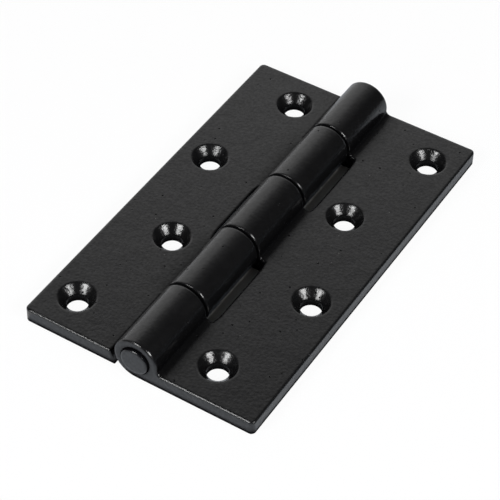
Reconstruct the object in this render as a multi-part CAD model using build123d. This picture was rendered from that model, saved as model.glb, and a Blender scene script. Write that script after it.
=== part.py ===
"""Cast butt hinge, 4 inch size: two black coated leaves on a fixed pin, laid open flat.

Frame: the pin runs along Y, the three-knuckle leaf reaches towards +X and the two-knuckle leaf
towards -X. Z is up, with z = 0 on the backs of both leaves and the countersunk faces on top.
The origin is under the middle of the pin. All lengths are in millimetres.
"""

from build123d import *
import math
import os

# Knuckles along the pin, counted from the near end (-Y), each with half of the gap beside it.
# The two end knuckles share what the others leave of the length, the near one a little longer.
hinge_length = 102.0
knuckle_2 = 21.5
knuckle_3 = 20.4
knuckle_4 = 20.8
end_knuckle_difference = 1.3
knuckle_gap = 0.55

# Leaves
leaf_reach = 30.4
leaf_thickness = 4.0
short_leaf_inset = 0.55
plan_corner_radius = 1.2
edge_radius = 0.4

# Barrel and pin
barrel_diameter = 11.2
root_fillet = 1.1
pin_diameter = 7.0
pin_clearance = 0.05
pin_stand_out = 0.65
pin_end_round = 0.4

# Notches through the leaves that clear the other leaf's knuckles
notch_landing = 0.45
notch_bulge = 0.45
notch_run_out = 3.5
end_notch_landing = 0.4
end_notch_draft = 14.0

# Countersunk screw holes, four to a leaf, staggered in two columns
hole_count = 4
hole_end_margin = 9.75
inner_column = 15.2
outer_column = 22.5
screw_bore = 5.2
countersink = 9.2
countersink_angle = 90.0
countersink_edge_radius = 0.15

# Sizes that follow from the ones above
end_knuckle = (hinge_length - knuckle_2 - knuckle_3 - knuckle_4) / 2
knuckle_1 = end_knuckle + end_knuckle_difference / 2
knuckle_5 = end_knuckle - end_knuckle_difference / 2
knuckle_lengths = (knuckle_1, knuckle_2, knuckle_3, knuckle_4, knuckle_5)
last_knuckle = len(knuckle_lengths) - 1
hole_pitch = (hinge_length - 2 * hole_end_margin) / (hole_count - 1)
joints = [sum(knuckle_lengths[:i]) - hinge_length / 2 for i in range(len(knuckle_lengths) + 1)]
barrel_radius = barrel_diameter / 2
axis_height = barrel_radius
pin_radius = pin_diameter / 2
axis_over_leaf = axis_height - leaf_thickness
landing_x = math.sqrt((barrel_radius + root_fillet) ** 2 - (axis_over_leaf - root_fillet) ** 2)
beyond = leaf_reach + barrel_diameter
close_to = 0.001


def along_pin(section, start, end):
    """Extrude an X-Z section along the pin, from y = start to y = end."""
    return Pos(0, end, 0) * extrude(Plane.XZ * section, amount=end - start)


def leaf_section():
    """Flat leaf with its knuckle: the barrel's circle runs tangent into the leaf's back."""
    root_x = math.sqrt(barrel_radius**2 - axis_over_leaf**2)
    outline = [
        Polyline((0, 0), (leaf_reach, 0), (leaf_reach, leaf_thickness), (root_x, leaf_thickness)),
        ThreePointArc((root_x, leaf_thickness), (-barrel_radius, axis_height), (0, 0)),
    ]
    face = make_face(outline)
    root = face.vertices().sort_by_distance((root_x, leaf_thickness, 0))[0]
    return fillet(root, root_fillet)


def notch(start, end):
    """Notch between two knuckles, cut right through, with both ends run out in long arcs."""
    end_x = landing_x + notch_landing
    side_x = end_x + notch_bulge
    arc_radius = (notch_bulge**2 + notch_run_out**2) / (2 * notch_bulge)
    half_turn = math.asin(notch_run_out / arc_radius) / 2
    middle_x = side_x - arc_radius * (1 - math.cos(half_turn))
    middle_run = notch_run_out - arc_radius * math.sin(half_turn)
    outline = [
        Polyline((end_x, start), (-beyond, start), (-beyond, end), (end_x, end)),
        ThreePointArc((end_x, end), (middle_x, end - middle_run), (side_x, end - notch_run_out)),
        Line((side_x, end - notch_run_out), (side_x, start + notch_run_out)),
        ThreePointArc((side_x, start + notch_run_out), (middle_x, start + middle_run), (end_x, start)),
    ]
    return extrude(make_face(outline), amount=beyond, both=True)


def end_notch_section():
    """Space for a knuckle at the hinge's end: cut right through, with a wall that leans in below."""
    top_x = landing_x + end_notch_landing
    slope = math.tan(math.radians(end_notch_draft))
    outline = Polyline(
        (top_x + slope * (beyond - leaf_thickness), beyond),
        (-beyond, beyond),
        (-beyond, -beyond),
        (top_x - slope * (beyond + leaf_thickness), -beyond),
        close=True,
    )
    return make_face(outline)


def flat_in(edge, axis, value):
    """True where an edge lies in the plane across an axis at a value."""
    low, high = edge.bounding_box().min, edge.bounding_box().max
    spread = [abs(getattr(corner, axis) - value) for corner in (low, high)]
    return max(spread) < close_to


def soft_edges(leaf, start, end, notches):
    """Edges that the casting and its coat leave rounded: leaf ends, knuckle ends and notch rims."""
    notch_ends = [y for space in notches for y in space]
    chosen = []
    for edge in leaf.edges():
        x = edge.center().X
        at_leaf_end = flat_in(edge, "Y", start) or flat_in(edge, "Y", end)
        at_knuckle_end = edge.geom_type == GeomType.CIRCLE and any(
            flat_in(edge, "Y", y) and abs(edge.radius - barrel_radius) < close_to for y in notch_ends
        )
        at_face = flat_in(edge, "Z", leaf_thickness) or flat_in(edge, "Z", 0)
        notch_rim = at_face and landing_x + close_to < x < inner_column
        if at_leaf_end or at_knuckle_end or notch_rim:
            chosen.append(edge)
    return chosen


def screw_hole():
    """Countersunk hole on the Z axis, cut down from a leaf's face."""
    sink_depth = (countersink - screw_bore) / 2 / math.tan(math.radians(countersink_angle / 2))
    outline = Polyline(
        (0, -leaf_thickness),
        (screw_bore / 2, -leaf_thickness),
        (screw_bore / 2, leaf_thickness - sink_depth),
        (countersink / 2, leaf_thickness),
        (countersink / 2, 2 * leaf_thickness),
        (0, 2 * leaf_thickness),
        close=True,
    )
    return revolve(Plane.XZ * make_face(outline), Axis.Z)


def cut_screw_holes(leaf, near_column, next_column):
    """Cut the staggered holes, the nearest one in near_column, and soften their rims."""
    first = -hole_pitch * (hole_count - 1) / 2
    for i in range(hole_count):
        leaf -= Pos((near_column, next_column)[i % 2], first + i * hole_pitch, 0) * screw_hole()
    rims = [
        edge
        for edge in leaf.edges().filter_by(GeomType.CIRCLE)
        if flat_in(edge, "Z", leaf_thickness) and abs(edge.radius - countersink / 2) < close_to
    ]
    return fillet(rims, countersink_edge_radius)


def make_leaf(own_knuckles, inset, near_column, next_column, bore_radius):
    """One leaf, reaching towards +X, with its knuckles, notches, soft edges, bore and holes."""
    start, end = joints[0] + inset, joints[-1] - inset
    leaf = along_pin(leaf_section(), start, end)
    leaf = fillet(leaf.edges().filter_by(Axis.Z).group_by(Axis.X)[-1], plan_corner_radius)

    notches = []
    for index in range(len(knuckle_lengths)):
        if index in own_knuckles:
            continue
        space = joints[index] - knuckle_gap / 2, joints[index + 1] + knuckle_gap / 2
        if index in (0, last_knuckle):
            leaf -= along_pin(end_notch_section(), *space)
        else:
            leaf -= notch(*space)
        notches.append(space)

    leaf = fillet(soft_edges(leaf, start, end, notches), edge_radius)
    leaf -= pin_cylinder(bore_radius, 2 * hinge_length)
    return cut_screw_holes(leaf, near_column, next_column)


def pin_cylinder(radius, length):
    """Cylinder on the hinge's axis, centred on the hinge."""
    return Pos(0, 0, axis_height) * Rot(90, 0, 0) * Cylinder(radius, length)


def make_pin():
    """Plain pin, fixed in the three-knuckle leaf, with rounded ends that stand out a little."""
    pin = pin_cylinder(pin_radius, hinge_length + 2 * pin_stand_out)
    return fillet(pin.edges().filter_by(GeomType.CIRCLE), pin_end_round)


three_knuckle_leaf = make_leaf((0, 2, 4), 0, inner_column, outer_column, pin_radius)
two_knuckle_leaf = mirror(
    make_leaf((1, 3), short_leaf_inset, outer_column, inner_column, pin_radius + pin_clearance),
    about=Plane.YZ,
)
hinge_pin = make_pin()

os.makedirs("parts", exist_ok=True)
export_step(three_knuckle_leaf, "parts/three_knuckle_leaf.step")
export_step(two_knuckle_leaf, "parts/two_knuckle_leaf.step")
export_step(hinge_pin, "parts/hinge_pin.step")
print(f"hinge {hinge_length:.1f} x {2 * leaf_reach:.1f} x {barrel_diameter:.1f} mm, axis at {axis_height:.2f}")
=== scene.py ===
# %% [markdown]
# A cast butt hinge in satin black, laid open on a white table
#
# The hinge is a small iron casting: two flat leaves whose knuckles interlock round one pin. Its
# sizes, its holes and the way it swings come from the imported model, which is loaded here and never
# moved. This file adds what the eye needs: the coat, the table, the light and the camera.

import math

import bmesh
import bpy
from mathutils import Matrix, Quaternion, Vector


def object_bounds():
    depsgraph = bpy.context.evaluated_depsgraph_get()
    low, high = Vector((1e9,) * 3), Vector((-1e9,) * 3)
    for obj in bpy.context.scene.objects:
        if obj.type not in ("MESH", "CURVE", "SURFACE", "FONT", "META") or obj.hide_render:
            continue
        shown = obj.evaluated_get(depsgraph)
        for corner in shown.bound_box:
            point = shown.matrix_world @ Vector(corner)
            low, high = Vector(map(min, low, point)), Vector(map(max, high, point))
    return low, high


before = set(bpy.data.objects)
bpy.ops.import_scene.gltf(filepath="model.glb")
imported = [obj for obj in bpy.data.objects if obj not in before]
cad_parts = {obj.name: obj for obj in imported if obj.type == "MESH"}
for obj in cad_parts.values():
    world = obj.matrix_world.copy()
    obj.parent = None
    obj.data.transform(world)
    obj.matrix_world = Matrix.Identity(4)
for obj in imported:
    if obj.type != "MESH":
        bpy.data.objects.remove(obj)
cad_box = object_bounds()
MM = 0.001
size = (cad_box[1] - cad_box[0]) / MM
print(f"hinge {size.x:.1f} x {size.y:.1f} x {size.z:.1f} mm, pieces: {', '.join(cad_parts)}")

# %% [markdown]
# Helpers for materials and directions
#
# Paint colours are written as sRGB hex, the way a colour picker gives them, but a shader wants
# linear light, so one function does that step. Another adds a node, sets its values and links its
# inputs, which lets a material below read as a list of its layers. The camera and the lamps all
# stand around the hinge, so their places are given as an azimuth from +X and an elevation.

# %% Helpers
def linear(hex_colour):
    channels = [int(hex_colour[i:i + 2], 16) / 255 for i in (1, 3, 5)]
    return tuple(c / 12.92 if c <= 0.04045 else ((c + 0.055) / 1.055) ** 2.4 for c in channels) + (1.0,)


def add_node(tree, kind, settings=None, **inputs):
    """Add a node. An input is a value, a socket or a node, and _2 stands for the input at place 2."""
    node = tree.nodes.new(kind)
    for name, value in (settings or {}).items():
        setattr(node, name, value)
    for name, value in inputs.items():
        socket = node.inputs[int(name[1:])] if name[0] == "_" else node.inputs[name.replace("_", " ")]
        if isinstance(value, bpy.types.Node):
            value = value.outputs[0]
        if isinstance(value, bpy.types.NodeSocket):
            tree.links.new(value, socket)
        else:
            socket.default_value = value
    return node


def new_material(name):
    material = bpy.data.materials.new(name)
    material.use_nodes = True
    material.node_tree.nodes.clear()
    return material, material.node_tree


def towards(azimuth, elevation):
    a, e = math.radians(azimuth), math.radians(elevation)
    return Vector((math.cos(a) * math.cos(e), math.sin(a) * math.cos(e), math.sin(e)))


print("mid grey #808080 is", round(linear("#808080")[0], 3), "in linear light")

# %% [markdown]
# Relief of the coat
#
# The coat follows the faint waves that a sand mould leaves in iron, and it adds the orange peel of
# baked powder. Here and there is a pit where gas came out of the iron. In the countersinks and on
# the sides and backs of the leaves it lies in small lumps, which break up the bright patches. Round
# the edges it is thick, so that they look softer than they are. It could all be sculpted, but it is
# far too shallow to show in the outline, so a Bevel node and bump do it, with every grain at its
# real size.

# %% Coat relief
CAST_WAVE, CAST_DEPTH = 6.0 * MM, 0.07 * MM
PEEL_GRAIN, PEEL_DEPTH = 0.7 * MM, 0.04 * MM
PIT_SPACING, PIT_RADIUS, PIT_DEPTH = 3.0 * MM, 0.3 * MM, 0.1 * MM
LUMP_GRAIN, LUMP_DEPTH = 0.8 * MM, 0.07 * MM
LEAF_FACE, LUMPS_BELOW = 4.0 * MM, 0.4 * MM
BARREL_END, LUMPS_FROM = 6.7 * MM, 8.0 * MM
SOFT_EDGE = 0.8 * MM
SPOT_CORE = 0.4
# Rays that a point of the coat sends out to find the edges near it, and later the open sky
LOOK_ROUND = 8


def spots(tree, place, spacing, radius):
    """One inside scattered balls of a radius and zero outside: a surface cuts only some of them."""
    balls = add_node(tree, "ShaderNodeTexVoronoi", Vector=place, Scale=1 / spacing)
    return add_node(
        tree, "ShaderNodeMapRange", {"interpolation_type": "SMOOTHSTEP"}, Value=balls,
        From_Min=radius / spacing, From_Max=SPOT_CORE * radius / spacing)


def relief(tree, place, cast, peel, pits):
    """The coat's normal: soft edges, then waves, peel and pits, then lumps below the leaves' faces."""
    normal = add_node(tree, "ShaderNodeBevel", {"samples": LOOK_ROUND}, Radius=SOFT_EDGE)
    for height, depth in ((cast, CAST_DEPTH), (peel, PEEL_DEPTH), (pits, -PIT_DEPTH)):
        normal = add_node(tree, "ShaderNodeBump", Distance=depth, Height=height, Normal=normal)
    lump = add_node(tree, "ShaderNodeTexNoise", Vector=place, Scale=1 / LUMP_GRAIN, Detail=2.0)
    at = add_node(tree, "ShaderNodeSeparateXYZ", Vector=place).outputs
    from_pin = add_node(tree, "ShaderNodeMath", {"operation": "ABSOLUTE"}, _0=at["X"])
    off_barrel = add_node(
        tree, "ShaderNodeMapRange", Value=from_pin, From_Min=BARREL_END, From_Max=LUMPS_FROM)
    lumpy = add_node(
        tree, "ShaderNodeMapRange", Value=at["Z"], From_Min=LEAF_FACE,
        From_Max=LEAF_FACE - LUMPS_BELOW, To_Max=off_barrel)
    return add_node(
        tree, "ShaderNodeBump", Strength=lumpy, Distance=LUMP_DEPTH, Height=lump, Normal=normal)


grains = {"waves": CAST_WAVE, "peel": PEEL_GRAIN, "pits": PIT_RADIUS, "lumps": LUMP_GRAIN}
print(", ".join(f"{name} of {grain / MM:.1f} mm" for name, grain in grains.items()))

# %% [markdown]
# Shine of the coat
#
# Baked powder has a satin shine, which mirrors a wall as a soft grey. The peel breaks it into a fine
# grain. A pit shows as a dark dot, because its shine is taken out there as painted shade. Down in the
# joints, the notches and the screw holes hardly any light arrives, so the shine is lowered there too,
# a painted shade that makes the coat look dull and black. Those places could be painted by hand.
# Here an Ambient Occlusion node measures how much open sky each point has, and finds them itself.

# %% Coat shine
NOISE_LOW, NOISE_HIGH = 0.3, 0.7
SHINE_LOW, SHINE_HIGH = 0.40, 0.60
# How far a point looks for sky, whether only its own piece can hide it, and the shares of open sky
# at which the painted shade makes the coat dull and at which it is clear
PAINTED_SHADE_RECESSES = (2.0 * MM, False, 0.78, 0.99), (5.5 * MM, True, 0.55, 0.95)


def satin_shine_with_painted_shade(tree, peel, pits):
    """The coat's specular level: grained by the peel, none in pits and less with less sky, both painted
    shade.
    """
    shine = add_node(
        tree, "ShaderNodeMapRange", Value=peel, From_Min=NOISE_LOW, From_Max=NOISE_HIGH,
        To_Min=SHINE_LOW, To_Max=SHINE_HIGH)
    # Painted shade: no shine in a pit
    shine = add_node(tree, "ShaderNodeMapRange", Value=pits, To_Min=shine, To_Max=0.0)
    # Painted shade: less shine where less sky is open
    for reach, own_piece, dull, clear in PAINTED_SHADE_RECESSES:
        sky = add_node(
            tree, "ShaderNodeAmbientOcclusion", {"samples": LOOK_ROUND, "only_local": own_piece},
            Distance=reach)
        shine = add_node(
            tree, "ShaderNodeMapRange", Value=sky.outputs["AO"], From_Min=dull, From_Max=clear,
            To_Max=shine)
    return shine


print("specular level from", SHINE_LOW, "to", SHINE_HIGH, "in the open, and less in recesses")

# %% [markdown]
# Satin black powder coat
#
# The casting is sprayed with dry powder and baked until it flows out, and the pin with it. To the
# eye that is a deep black under a soft sheen, with a few pale specks where dust fell in. The leaves
# and the pin could share one material, but the pin is smooth steel under its coat, so one function
# makes two that differ a little in tone and gloss.

# %% Powder coat
COAT_IOR = 1.55
GLOSS_SPREAD = 0.04
SPECK_SPACING, SPECK_RADIUS = 5.0 * MM, 0.18 * MM
DUST = "#4a4a48"


def powder_coat(name, black, roughness):
    material, tree = new_material(name)
    place = add_node(tree, "ShaderNodeTexCoord").outputs["Object"]
    cast = add_node(tree, "ShaderNodeTexNoise", Vector=place, Scale=1 / CAST_WAVE, Detail=3.0)
    peel = add_node(tree, "ShaderNodeTexNoise", Vector=place, Scale=1 / PEEL_GRAIN, Detail=3.0)
    pits = spots(tree, place, PIT_SPACING, PIT_RADIUS)
    specks = spots(tree, place, SPECK_SPACING, SPECK_RADIUS)
    colour = add_node(
        tree, "ShaderNodeMix", {"data_type": "RGBA"}, _0=specks, _6=linear(black), _7=linear(DUST))
    gloss = add_node(
        tree, "ShaderNodeMapRange", Value=cast, From_Min=NOISE_LOW, From_Max=NOISE_HIGH,
        To_Min=roughness - GLOSS_SPREAD, To_Max=roughness + GLOSS_SPREAD)
    coat = add_node(
        tree, "ShaderNodeBsdfPrincipled", Base_Color=colour.outputs[2], IOR=COAT_IOR, Roughness=gloss,
        Specular_IOR_Level=satin_shine_with_painted_shade(tree, peel, pits), Normal=relief(tree, place, cast, peel, pits))
    add_node(tree, "ShaderNodeOutputMaterial", Surface=coat)
    return material


leaf_coat = powder_coat("satin_black_powder_coat_on_cast_iron", black="#0a0a0b", roughness=0.22)
pin_coat = powder_coat("satin_black_powder_coat_on_steel", black="#0a0a0c", roughness=0.24)
for name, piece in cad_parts.items():
    piece.data.materials[0] = pin_coat if name == "hinge_pin" else leaf_coat
    print(name, "has", piece.data.materials[0].name)

# %% [markdown]
# The table top
#
# The hinge lies on a wide sheet of paper. A box would do, but only the top is ever seen, so it is a
# grid of one face. It lies a hair below the backs of the leaves, so that the faces don't coincide.

# %% Table top
TABLE_HALF = 2.0
TABLE_GAP = 0.05 * MM

table_mesh = bpy.data.meshes.new("table")
bm = bmesh.new()
bmesh.ops.create_grid(bm, x_segments=1, y_segments=1, size=TABLE_HALF)
bmesh.ops.translate(bm, verts=bm.verts, vec=(0, 0, cad_box[0].z - TABLE_GAP))
bm.to_mesh(table_mesh)
bm.free()
table = bpy.data.objects.new("table", table_mesh)
bpy.context.scene.collection.objects.link(table)
print(f"table at {table_mesh.vertices[0].co.z / MM:.2f} mm")

# %% [markdown]
# The paper and its strip of painted shade
#
# Paper is matt and white, and in a product photograph it burns out to pure white. More lamps would
# do that, but they would grey the black coat too. So the sheet is mostly see-through, and the room
# below it is white. Under the barrel little light comes in, so there the sheet is whole and painted
# grey as shade. That strip of painted shade is what shows through the notches beside the knuckles,
# so it is marked out first.

# %% Painted shade strip
# The strip where the sheet is whole and painted grey as shade: full inside, gone beyond
PAINTED_SHADE_UNDER_BARREL = {"X": (7.6 * MM, 12.0 * MM), "Y": (46.0 * MM, 50.0 * MM)}

paper, tree = new_material("white_paper_with_painted_shade")
place = add_node(tree, "ShaderNodeTexCoord").outputs["Object"]
place = add_node(tree, "ShaderNodeSeparateXYZ", Vector=place).outputs
edges = []
for axis, (whole, open_from) in PAINTED_SHADE_UNDER_BARREL.items():
    away = add_node(tree, "ShaderNodeMath", {"operation": "ABSOLUTE"}, _0=place[axis])
    edges.append(add_node(
        tree, "ShaderNodeMapRange", {"interpolation_type": "SMOOTHSTEP"}, Value=away,
        From_Min=whole, From_Max=open_from))
# Zero in the strip, where the paper is whole and painted grey as shade
open_air = add_node(tree, "ShaderNodeMath", {"operation": "MAXIMUM"}, _0=edges[0], _1=edges[1])
for axis, (whole, open_from) in PAINTED_SHADE_UNDER_BARREL.items():
    print(f"along {axis} the paper is whole to {whole / MM:.1f} mm and open from {open_from / MM:.1f} mm")

# %% [markdown]
# What each ray sees of the paper
#
# The camera sees nearly through the sheet, and the small share that it does see carries the shadow.
# Light from the lamps meets all of it. The coat mirrors a quarter of the white room, and the sheet
# in its reflections is painted bluish grey as shade, which gives the front faces their tone. To the
# left of the hinge the sheet stays white for the coat too, because the barrel's bright ridge comes
# from there. Under the barrel the sheet is painted grey for every ray.

# %% Paper
SHADOW_SHARE, MIRROR_SHARE = 0.06, 0.25
# The sheet's own white, the grey painted under the barrel as shade, and the bluish grey painted into its
# reflections as shade
PAPER_WHITE, PAPER_PAINTED_SHADE, PAPER_PAINTED_REFLECTION = "#f0f1f4", "#b8b8b6", "#c4cbd4"

rays = add_node(tree, "ShaderNodeLightPath").outputs
glossy = rays["Is Glossy Ray"]
direct = add_node(
    tree, "ShaderNodeMath", {"operation": "MAXIMUM"},
    _0=rays["Is Camera Ray"], _1=rays["Is Transmission Ray"])
straight = add_node(tree, "ShaderNodeMath", {"operation": "MULTIPLY"}, _0=direct, _1=1 - SHADOW_SHARE)
mirrored = add_node(tree, "ShaderNodeMath", {"operation": "MULTIPLY"}, _0=glossy, _1=MIRROR_SHARE)
through = add_node(tree, "ShaderNodeMath", {"operation": "MAXIMUM"}, _0=straight, _1=mirrored)
through = add_node(tree, "ShaderNodeMath", {"operation": "MULTIPLY"}, _0=through, _1=open_air)
# Painted shade: right of the hinge's left edge the sheet turns bluish grey in reflections only
not_left = add_node(
    tree, "ShaderNodeMath", {"operation": "GREATER_THAN"}, _0=place["X"], _1=cad_box[0].x)
painted_dim_reflection = add_node(tree, "ShaderNodeMath", {"operation": "MULTIPLY"}, _0=not_left, _1=glossy)
pale = add_node(
    tree, "ShaderNodeMath", {"operation": "SUBTRACT", "use_clamp": True}, _0=open_air, _1=painted_dim_reflection)
grey = add_node(
    tree, "ShaderNodeMix", {"data_type": "RGBA"}, _0=glossy, _6=linear(PAPER_PAINTED_SHADE),
    _7=linear(PAPER_PAINTED_REFLECTION))
sheet_colour = add_node(
    tree, "ShaderNodeMix", {"data_type": "RGBA"}, _0=pale, _6=grey.outputs[2], _7=linear(PAPER_WHITE))
sheet = add_node(tree, "ShaderNodeBsdfDiffuse", Color=sheet_colour.outputs[2])
opening = add_node(tree, "ShaderNodeBsdfTransparent")
both = add_node(tree, "ShaderNodeMixShader", _0=through, _1=sheet, _2=opening)
add_node(tree, "ShaderNodeOutputMaterial", Surface=both)
table_mesh.materials.append(paper)
print(f"paper keeps {SHADOW_SHARE:.0%} of the shadow")

# %% [markdown]
# Soft boxes
#
# Two soft boxes stand to the left and the right of the camera, a little lower than it. They give the
# two bright patches in each countersink and the thin lights along the rounded edges. Small lamps
# would give hard dots, so these are areas, with their light set per area to keep it the same when
# their size changes.

# %% Soft boxes
BOX_AZIMUTHS = {"right_soft_box": -9, "front_left_soft_box": -109}
BOX_ELEVATION = 37
BOX_DISTANCE, BOX_WIDTH, BOX_HEIGHT = 1.0, 0.40, 0.30
BOX_LIGHT = 20.0

for name, azimuth in BOX_AZIMUTHS.items():
    lamp = bpy.data.lights.new(name, "AREA")
    lamp.shape = "RECTANGLE"
    lamp.size, lamp.size_y = BOX_WIDTH, BOX_HEIGHT
    lamp.energy = BOX_LIGHT * math.pi * BOX_WIDTH * BOX_HEIGHT
    box = bpy.data.objects.new(name, lamp)
    box.location = towards(azimuth, BOX_ELEVATION) * BOX_DISTANCE
    box.rotation_euler = box.location.to_track_quat("Z", "Y").to_euler()
    bpy.context.scene.collection.objects.link(box)
    print(f"{name} at {azimuth} degrees, {lamp.energy:.1f} W")

# %% [markdown]
# The room
#
# A pale wall stands behind on the left, and the flat leaves mirror it. It fades upwards, to the right
# and to the front. So the leaves get darker towards the near end, the barrel turns from grey to black
# over its top, and the screw holes stay black at the side. The wall could be a real plane, but as a
# gradient of the world it needs no place. The rest of the room is dim, and below it is white.

# %% Room
ROOM_LIGHT, WALL_LIGHT, FLOOR_LIGHT = 0.05, 0.8, 1.0
# For each axis, how far a direction points along it where the wall is full and where it ends, and
# what is left of the wall beyond that
WALL_FADES = {
    "Z": (math.sin(math.radians(39)), math.sin(math.radians(60)), 0.15),
    "X": (-math.sin(math.radians(30)), math.sin(math.radians(27)), 0.0),
    "Y": (0.4, -0.1, 0.0),
}

world = bpy.data.worlds.new("pale_wall_on_the_left")
bpy.context.scene.world = world
world.use_nodes = True
tree = world.node_tree
tree.nodes.clear()
look = add_node(tree, "ShaderNodeTexCoord").outputs["Generated"]
look = add_node(tree, "ShaderNodeSeparateXYZ", Vector=look).outputs
wall = 1.0
for axis, (full, end, left_over) in WALL_FADES.items():
    fade = add_node(
        tree, "ShaderNodeMapRange", {"interpolation_type": "SMOOTHSTEP"}, Value=look[axis],
        From_Min=full, From_Max=end, To_Min=1.0, To_Max=left_over)
    wall = add_node(tree, "ShaderNodeMath", {"operation": "MULTIPLY"}, _0=wall, _1=fade)
above = add_node(
    tree, "ShaderNodeMath", {"operation": "MULTIPLY_ADD"}, _0=wall, _1=WALL_LIGHT, _2=ROOM_LIGHT)
below = add_node(tree, "ShaderNodeMath", {"operation": "LESS_THAN"}, _0=look["Z"], _1=0.0)
strength = add_node(tree, "ShaderNodeMix", _0=below, _2=above, _3=FLOOR_LIGHT)
sky = add_node(tree, "ShaderNodeBackground", Color=(1, 1, 1, 1), Strength=strength)
add_node(tree, "ShaderNodeOutputWorld", Surface=sky)
bpy.context.scene.view_settings.view_transform = "Standard"
print(f"wall {WALL_LIGHT}, room {ROOM_LIGHT}, white below {FLOOR_LIGHT}")

# %% [markdown]
# A grey card
#
# A product photographer tones the lower side of a black barrel with a card beside the object. This
# one is matt grey, low, and stands along the right leaf. It would stand in the picture, so only
# reflections see it: it casts no shadow and lights nothing, a painted reflection that darkens the
# lower side of the barrel.

# %% Grey card
CARD_AT, CARD_LENGTH, CARD_HEIGHT = 40 * MM, 156 * MM, 12 * MM
CARD_GREY = "#686c70"

card_mesh = bpy.data.meshes.new("grey_card")
bm = bmesh.new()
half = CARD_LENGTH / 2
corners = (-half, 0), (-half, CARD_HEIGHT), (half, CARD_HEIGHT), (half, 0)
bm.faces.new([bm.verts.new((CARD_AT, y, z)) for y, z in corners])
bmesh.ops.recalc_face_normals(bm, faces=bm.faces)
bm.to_mesh(card_mesh)
bm.free()
card = bpy.data.objects.new("grey_card", card_mesh)
bpy.context.scene.collection.objects.link(card)
# Painted reflection: the card casts no shadow, lights nothing and is seen only in reflections
card.visible_camera = False
card.visible_diffuse = False
card.visible_shadow = False
card_paint, tree = new_material("matt_grey_painted_reflection_card")
matt = add_node(tree, "ShaderNodeBsdfDiffuse", Color=linear(CARD_GREY))
add_node(tree, "ShaderNodeOutputMaterial", Surface=matt)
card_mesh.materials.append(card_paint)
print(f"card {CARD_LENGTH / MM:.0f} x {CARD_HEIGHT / MM:.0f} mm, {CARD_AT / MM:.0f} mm from the pin")

# %% [markdown]
# The camera
#
# A long lens from nearly half a metre, to the right of the near end and looking down. The picture is
# square, with the frame filled by the open hinge. The values come from lining up the leaves' corners
# and the screw holes, which also shows that the lens was tilted by a degree or so.

# %% Camera
CAMERA_AIM = Vector((2.30, -7.59, 4.0)) * MM
CAMERA_AZIMUTH, CAMERA_ELEVATION, CAMERA_ROLL = -58.919, 45.738, 1.436
CAMERA_DISTANCE = 449.5 * MM
SENSOR_MM, LENS_MM = 36.0, 140.33

lens = bpy.data.cameras.new("camera")
lens.sensor_width, lens.lens = SENSOR_MM, LENS_MM
camera = bpy.data.objects.new("camera", lens)
outward = towards(CAMERA_AZIMUTH, CAMERA_ELEVATION)
camera.location = CAMERA_AIM + outward * CAMERA_DISTANCE
roll = Quaternion((0, 0, 1), math.radians(CAMERA_ROLL))
camera.rotation_euler = (outward.to_track_quat("Z", "Y") @ roll).to_euler()
bpy.context.scene.collection.objects.link(camera)
bpy.context.scene.camera = camera
print("camera at", [round(c, 4) for c in camera.location], "m")
